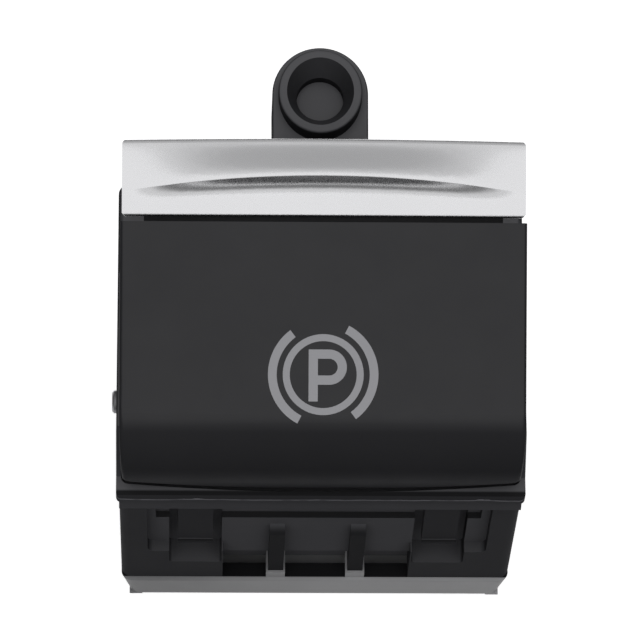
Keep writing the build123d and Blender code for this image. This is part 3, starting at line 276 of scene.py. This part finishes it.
metal("satin_chrome", (0.74, 0.74, 0.755), 0.27, 7000.0, 3 * MICRON, stretch=(1, 0.4, 1))
metal("pin_steel", (0.2, 0.2, 0.21), 0.35, 2200.0, 10 * MICRON)
metal("pin_gold", (0.78, 0.6, 0.3), 0.28, 2200.0, 10 * MICRON)
clear_plastic("clear_guide")
plastic(
    "soft_black",
    dark=(0.030, 0.030, 0.033),
    light=(0.038, 0.038, 0.041),
    roughness=0.55,
    grain=9000.0,
    depth=10 * MICRON,
    top_gloss=0.31,
    wall_gloss=0.05,
)
plastic(
    "frame_black",
    dark=(0.060, 0.060, 0.065),
    light=(0.076, 0.076, 0.082),
    roughness=0.6,
    grain=5200.0,
    depth=20 * MICRON,
    top_gloss=0.6,
)
plastic(
    "housing_black",
    dark=(0.045, 0.045, 0.049),
    light=(0.058, 0.058, 0.062),
    roughness=0.55,
    grain=4200.0,
    depth=30 * MICRON,
    top_gloss=0.3,
)
plastic(
    "inner_plastic",
    dark=(0.018, 0.018, 0.02),
    light=(0.026, 0.026, 0.028),
    roughness=0.5,
    grain=4200.0,
    depth=20 * MICRON,
    top_gloss=0.15,
)
plastic("cover_grey", (0.28, 0.28, 0.29), (0.37, 0.37, 0.38), 0.55, 4200.0, 30 * MICRON)
plastic("chassis_white", (0.66, 0.66, 0.63), (0.74, 0.74, 0.71), 0.5, 4200.0, 20 * MICRON)
plastic("sign_white", (0.405, 0.405, 0.43), (0.46, 0.46, 0.485), 0.45, 9000.0, 5 * MICRON)
plastic("board_green", (0.012, 0.10, 0.045), (0.018, 0.14, 0.06), 0.35, 3000.0, 10 * MICRON)
plastic("lamp_body", (0.72, 0.7, 0.6), (0.8, 0.78, 0.68), 0.35, 3000.0, 10 * MICRON)
plastic("part_black", (0.02, 0.02, 0.02), (0.035, 0.035, 0.035), 0.4, 3000.0, 10 * MICRON)
rubbed_and_highlit_edge("housing_edge", (0.10, 0.10, 0.108))
rubbed_and_highlit_edge("frame_edge", (0.085, 0.085, 0.09))

# Foam seal: where it lies, and its looks against the plain cover
JOINT_HEIGHT = 4.6 * MM
SEAL_SPREAD = 0.02 * MM
SEAL_FRONT = -9.8 * MM
SEAL_COLOR = (0.012, 0.012, 0.013, 1)
SEAL_GLOSS = 0.02
COVER_GLOSS = 0.5


def add_seal(name):
    """Black foam seal on the cover's joint face, under the housing's lower edge."""
    tree, shader = opened(name)
    spot = add_split(tree, "Object")
    joint = add_math(tree, "COMPARE", spot["Z"], JOINT_HEIGHT, SEAL_SPREAD)
    behind = add_math(tree, "GREATER_THAN", spot["Y"], SEAL_FRONT)
    covered = add_product(tree, joint, behind)
    color = add_blend(tree, covered, fed_by(shader.inputs["Base Color"]), SEAL_COLOR, "RGBA")
    feed(tree, shader.inputs["Base Color"], color)
    gloss = add_blend(tree, covered, COVER_GLOSS, SEAL_GLOSS)
    feed(tree, shader.inputs["Specular IOR Level"], gloss)


# Cover: its tone, as a factor on the base colour, from the left end to right of the middle
FADE_START = -21 * MM
FADE_END = 4 * MM
FADE_TONES = (0.72, 1.24)


def add_side_fade(name):
    """The cover's tone drifts from one end to the other."""
    tree, shader = opened(name)
    across = add_split(tree, "Object")["X"]
    scale_color(tree, shader, add_ramp(tree, across, FADE_START, FADE_END, *FADE_TONES))


# Frame: heights and depths on it, and the painted light and shade on it as factors on the base colour
BAND_FOOT = 26.4 * MM
RIM_FOOT = 28.5 * MM
RIM_TOP = 30.0 * MM
RIM_FRONT = -9.25 * MM
RIM_EDGE_W = 0.3 * MM
SEAM_H = 0.15 * MM
TONE_STEP = 0.05 * MM
# Painted shade on the tongues, the seam, the ear's walls and the rim's front edge, painted light on the
# band and on faces that look up
TONGUE_SHADE = 0.8
BAND_LIGHT = 1.4
SEAM_SHADE = 0.4
UPPER_WALL_SHADE = 0.35
RIM_EDGE_SHADE = 0.25
RIM_EDGE_SHADE_GLOSS = 0.1
TOP_LIGHT_TONE = 1.35

# Painted highlight of the mould's flash: a light line that waves in height and fades in and out
FLASH_Z = 29.5 * MM
FLASH_H = 0.24 * MM
FLASH_WAVE = 0.6 * MM
FLASH_WAVES = 320.0
FLASH_PATCHES = 700.0
FLASH_PATCH_EDGE = (0.35, 0.6)
FLASH_FAINT = 0.45
FLASH_HIGHLIGHT_TONE = 4.2


def add_flash_highlight(tree, height):
    """Share of the painted flash highlight at a height, all round the rim."""
    waves = add_noise(tree, FLASH_WAVES, detail=5.0, stretch=(1, 0.1, 0.1))
    level = add_math(tree, "MULTIPLY_ADD", waves, FLASH_WAVE, height)
    line = add_math(tree, "COMPARE", level, FLASH_Z + FLASH_WAVE / 2, FLASH_H / 2)
    patches = add_noise(tree, FLASH_PATCHES, detail=3.0, stretch=(1, 0.3, 0.3))
    return add_product(tree, line, add_ramp(tree, patches, *FLASH_PATCH_EDGE, FLASH_FAINT))


def add_frame_light_and_shade(name):
    """Painted light on what looks up and on the band, painted shade on the tongues, the seam, the rim's
    front edge and the ear's walls, and a painted flash highlight along the rim.
    """
    tree, shader = opened(name)
    spot = add_split(tree, "Object")
    band_edge = (BAND_FOOT - TONE_STEP, BAND_FOOT + TONE_STEP)
    band = add_ramp(tree, spot["Z"], *band_edge, TONGUE_SHADE, BAND_LIGHT)
    seam = add_math(tree, "COMPARE", spot["Z"], RIM_FOOT, SEAM_H)
    lower = add_blend(tree, seam, band, SEAM_SHADE)
    above = add_ramp(tree, spot["Z"], RIM_TOP, RIM_TOP + TONE_STEP)
    wall = add_blend(tree, above, lower, UPPER_WALL_SHADE)
    rim_edge = (RIM_FRONT, RIM_FRONT + RIM_EDGE_W)
    top = add_ramp(tree, spot["Y"], *rim_edge, RIM_EDGE_SHADE, TOP_LIGHT_TONE)
    up = add_ramp(tree, add_split(tree, "Normal")["Z"], *LOOKS_UP)
    # painted light on upward faces, painted shade on the rest as set above
    lit_and_shaded = add_blend(tree, up, wall, top)
    gloss = shader.inputs["Specular IOR Level"]
    dulled = add_ramp(tree, spot["Y"], *rim_edge, RIM_EDGE_SHADE_GLOSS)
    feed(tree, gloss, add_product(tree, fed_by(gloss), dulled))
    scale_color(tree, shader, add_blend(tree, add_flash_highlight(tree, spot["Z"]), lit_and_shaded, FLASH_HIGHLIGHT_TONE))


# Housing: planes of its front, and the painted light and shade on it as factors on the base colour
FRONT_PLANE = -9.4 * MM
PANEL_PLANE = -8.5 * MM
POCKET_REAR = -7.0 * MM
POCKET_FADE = 2 * MM
SIDE_X = 21 * MM
SIDE_EDGE = (SIDE_X - 0.6 * MM, SIDE_X - 0.3 * MM)
LEDGE_Z = 14 * MM
LEDGE_FADE = 2 * MM
RIBS_X = 5.6 * MM
RIBS_FADE = 0.5 * MM
# Painted shade on the ribs, the recess walls and the high ledges, painted light on the recessed panel
# and the low ledges
RIB_SHADE = 0.6
PROUD_TONE = 1.15
PANEL_LIGHT = 2.25
LOW_LEDGE_LIGHT = 1.5
HIGH_LEDGE_SHADE = 0.4
RECESS_SHADE = 0.6
OUTER_TONE = 2.0


def add_front_light_and_shade(name):
    """Painted light and shade on the housing's front: panel and low ledges lighter, ribs, recess walls
    and high ledges darker, sides and rear lighter.
    """
    tree, shader = opened(name)
    spot = add_split(tree, "Object")
    normal = add_split(tree, "Normal")
    aside = add_math(tree, "ABSOLUTE", spot["X"])
    proud = add_ramp(tree, aside, RIBS_X, RIBS_X + RIBS_FADE, RIB_SHADE, PROUD_TONE)
    sunk = add_ramp(tree, spot["Y"], FRONT_PLANE, PANEL_PLANE)
    front = add_blend(tree, sunk, proud, PANEL_LIGHT)
    ledge = add_ramp(tree, spot["Z"], LEDGE_Z, LEDGE_Z + LEDGE_FADE, LOW_LEDGE_LIGHT, HIGH_LEDGE_SHADE)
    up = add_ramp(tree, normal["Z"], *LOOKS_UP)
    recess = add_blend(tree, up, RECESS_SHADE, ledge)
    rearward = add_ramp(tree, spot["Y"], POCKET_REAR, POCKET_REAR + POCKET_FADE)
    sideward = add_ramp(tree, aside, *SIDE_EDGE)
    outside = add_math(tree, "MAXIMUM", rearward, sideward)
    other = add_blend(tree, outside, recess, OUTER_TONE)
    ahead = add_ramp(tree, normal["Y"], *LOOKS_AHEAD)
    scale_color(tree, shader, add_blend(tree, ahead, other, front))


add_seal("cover_grey")
add_side_fade("cover_grey")
add_frame_light_and_shade("frame_black")
add_front_light_and_shade("housing_black")

for row in frame["record"]["subparts"]:
    node = frame["nodes"][row["node"]]
    node.data.materials.clear()
    node.data.materials.append(materials[row["material_slot"]])

BEVEL_ANGLE = math.radians(38)


def soften_edges(name, width, edge=None):
    """Rounds the hard edges by a hair, as moulding does, and gives them a material if asked."""
    node = frame["nodes"][name]
    bevel = node.modifiers.new("soft_edges", "BEVEL")
    if edge:
        node.data.materials.append(materials[edge])
        bevel.material = 1
    bevel.width = width
    bevel.segments = 2
    bevel.limit_method = "ANGLE"
    bevel.angle_limit = BEVEL_ANGLE
    bevel.use_clamp_overlap = True


soften_edges("housing", 0.14 * MM, "housing_edge")
soften_edges("bezel_frame", 0.12 * MM, "frame_edge")
soften_edges("base_cover", 0.12 * MM)

# Stage: a floor that is white to the camera, and in metal and glass fades to grey away from the object
FLOOR_HALF = 3.0
FLOOR_GLOW = 0.7
FLOOR_WHITE_R = 0.08
FLOOR_GREY_R = 0.22
FLOOR_WHITE = (0.95, 0.95, 0.95, 1)
FLOOR_GREY = (0.4, 0.4, 0.4, 1)
FLOOR_BOUNCE = (0.15, 0.15, 0.15, 1)


def add_matt(tree, color):
    """Matt surface of a colour."""
    surface = tree.nodes.new("ShaderNodeBsdfDiffuse")
    feed(tree, surface.inputs["Color"], color)
    return surface.outputs["BSDF"]


def make_stage_material():
    """Pale to what is seen straight, mirrored or through glass, and dim to the light that it returns."""
    material = bpy.data.materials.new("pale_floor")
    material.use_nodes = True
    tree = material.node_tree
    tree.nodes.clear()
    out = tree.nodes.new("ShaderNodeOutputMaterial")
    path = tree.nodes.new("ShaderNodeLightPath").outputs
    place = tree.nodes.new("ShaderNodeTexCoord")
    distance = tree.nodes.new("ShaderNodeVectorMath")
    distance.operation = "LENGTH"
    feed(tree, distance.inputs[0], place.outputs["Object"])
    near = add_ramp(tree, distance.outputs["Value"], FLOOR_WHITE_R, FLOOR_GREY_R, 1.0, 0.0)
    white = add_math(tree, "MAXIMUM", near, path["Is Camera Ray"])
    pale = add_matt(tree, add_blend(tree, white, FLOOR_GREY, FLOOR_WHITE, "RGBA"))
    glow = tree.nodes.new("ShaderNodeEmission")
    feed(tree, glow.inputs["Strength"], add_product(tree, white, FLOOR_GLOW))
    lit = tree.nodes.new("ShaderNodeAddShader")
    feed(tree, lit.inputs[0], pale)
    feed(tree, lit.inputs[1], glow.outputs["Emission"])
    seen = add_math(tree, "MAXIMUM", path["Is Camera Ray"], path["Is Glossy Ray"])
    seen = add_math(tree, "MAXIMUM", seen, path["Is Transmission Ray"])
    mix = tree.nodes.new("ShaderNodeMixShader")
    feed(tree, mix.inputs["Fac"], seen)
    feed(tree, mix.inputs[1], add_matt(tree, FLOOR_BOUNCE))
    feed(tree, mix.inputs[2], lit.outputs["Shader"])
    feed(tree, out.inputs["Surface"], mix.outputs["Shader"])
    return material


bpy.ops.mesh.primitive_plane_add(size=2 * FLOOR_HALF, location=(0, 0, 0))
floor = bpy.context.object
floor.name = "floor"
floor.data.materials.append(make_stage_material())

# World: its strengths, and parts of a unit direction over which the mirrored ones come and go
WORLD_WHITE = 1.0
WORLD_LIGHT = 0.2
BACKDROP = 0.85
BACKDROP_FOOT = (0.1, 0.4)
BACKDROP_TOP = (0.5, 0.78)
BACKDROP_REAR = (0.0, 0.35)
REAR_GLOW = 0.35
GLOW_FOOT = (0.5, 0.75)
GLOW_FRONT = (0.06, 0.14)
GLOW_REAR = (0.14, 0.7)
GLOW_SIDE = (0.1, 0.35)


def make_world(tree):
    """Even and dim as light, white to the camera, and shaped in what metal and glass show."""
    background = tree.nodes["Background"]
    background.inputs["Color"].default_value = (1, 1, 1, 1)
    toward = add_split(tree, "Generated")
    backdrop = add_product(
        tree,
        add_ramp(tree, toward["Z"], *BACKDROP_TOP, 1.0, 0.0),
        add_ramp(tree, toward["Z"], *BACKDROP_FOOT),
        add_ramp(tree, toward["Y"], *BACKDROP_REAR, 1.0, 0.0),
    )
    glow = add_product(
        tree,
        add_ramp(tree, toward["Y"], *GLOW_FRONT),
        add_ramp(tree, toward["Y"], *GLOW_REAR, REAR_GLOW, 0.0),
        add_ramp(tree, toward["Z"], *GLOW_FOOT),
        add_ramp(tree, add_math(tree, "ABSOLUTE", toward["X"]), *GLOW_SIDE, 1.0, 0.0),
    )
    sky = add_math(tree, "ADD", glow, WORLD_LIGHT)
    shaped = add_blend(tree, backdrop, sky, BACKDROP)
    path = tree.nodes.new("ShaderNodeLightPath").outputs
    mirrored = add_math(tree, "MAXIMUM", path["Is Glossy Ray"], path["Is Transmission Ray"])
    indirect = add_blend(tree, mirrored, WORLD_LIGHT, shaped)
    strength = add_blend(tree, path["Is Camera Ray"], indirect, WORLD_WHITE)
    feed(tree, background.inputs["Strength"], strength)


world = bpy.data.worlds.new("world")
bpy.context.scene.world = world
world.use_nodes = True
make_world(world.node_tree)


# Lamps
def add_area(name, place, target, size, radiance):
    """A soft box of an even brightness that shines from place towards target."""
    data = bpy.data.lights.new(name, "AREA")
    data.shape = "RECTANGLE"
    data.size, data.size_y = size
    data.energy = radiance * math.pi * size[0] * size[1]
    light = bpy.data.objects.new(name, data)
    bpy.context.scene.collection.objects.link(light)
    light.location = place
    aim = Vector(target) - Vector(place)
    light.rotation_euler = aim.to_track_quat("-Z", "Y").to_euler()


add_area(
    "soft_top",
    place=(0.0, -0.31, 0.86),
    target=(0.0, 0.04, 0.0),
    size=(1.5, 0.92),
    radiance=0.85,
)
add_area(
    "rear_fill",
    place=(0.0, 0.6, 0.8),
    target=(0.0, 0.01, 0.03),
    size=(2.2, 1.25),
    radiance=0.3,
)

bpy.context.scene.view_settings.view_transform = "Standard"
